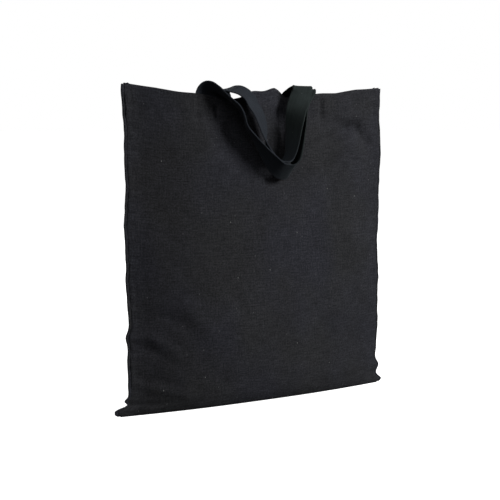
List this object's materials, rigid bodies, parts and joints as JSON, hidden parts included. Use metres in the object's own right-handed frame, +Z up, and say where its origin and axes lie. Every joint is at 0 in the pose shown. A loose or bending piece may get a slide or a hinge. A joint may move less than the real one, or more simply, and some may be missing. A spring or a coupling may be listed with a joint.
{
  "type": "canvas tote bag",
  "caption": "Flat black canvas shopping bag with a folded hem and short webbing handles that fall over its front and lift upright.",
  "frame": {"origin": "middle of the flat that the bag stands on, level with the surface", "axes": "+X across the bag to its right side seam seen from the front, -Y out of the front, +Z up to the mouth"},
  "size_m": [0.407, 0.0763, 0.4138],
  "materials": {
    "canvas": "matte plain-weave cotton canvas, dyed black",
    "webbing": "matte twill-woven cotton webbing, black with a cool cast",
    "thread": "spun black sewing thread with a slight sheen"
  },
  "bodies": {
    "bag": {"front_panel": "canvas", "back_panel": "canvas", "left_side_seam": "canvas", "right_side_seam": "canvas", "bottom_seam": "canvas", "front_hem": "canvas", "back_hem": "canvas", "front_hem_stitch": "thread", "back_hem_stitch": "thread", "front_box_stitch": "thread", "back_box_stitch": "thread", "front_left_strap_end": "webbing", "front_right_strap_end": "webbing", "back_left_strap_end": "webbing", "back_right_strap_end": "webbing"},
    "front_bends": {"front_left_bend": "webbing", "front_right_bend": "webbing"},
    "front_handle": {"front_handle": "webbing"},
    "back_bends": {"back_left_bend": "webbing", "back_right_bend": "webbing"},
    "back_handle": {"back_handle": "webbing"}
  },
  "joints": [
    {"name": "front_handle_root", "type": "hinge", "parent": "bag", "child": "front_bends", "pos_m": [0, -0.0079, 0.405], "axis": [-1, 0, 0], "range_deg": [0, 80]},
    {"name": "front_handle_lift", "type": "hinge", "parent": "front_bends", "child": "front_handle", "pos_m": [0, -0.0215, 0.405], "axis": [-1, 0, 0], "range_deg": [0, 80]},
    {"name": "back_handle_root", "type": "hinge", "parent": "bag", "child": "back_bends", "pos_m": [0, 0.0079, 0.41], "axis": [-1, 0, 0], "range_deg": [0, 90]},
    {"name": "back_handle_lift", "type": "hinge", "parent": "back_bends", "child": "back_handle", "pos_m": [0, -0.027, 0.41], "axis": [-1, 0, 0], "range_deg": [0, 90]}
  ],
  "couplings": [
    {"joint": "back_handle_root", "follows": "back_handle_lift", "ratio": 1},
    {"joint": "front_handle_lift", "follows": "back_handle_lift", "ratio": 0.8888},
    {"joint": "front_handle_root", "follows": "back_handle_lift", "ratio": 0.8888}
  ]
}
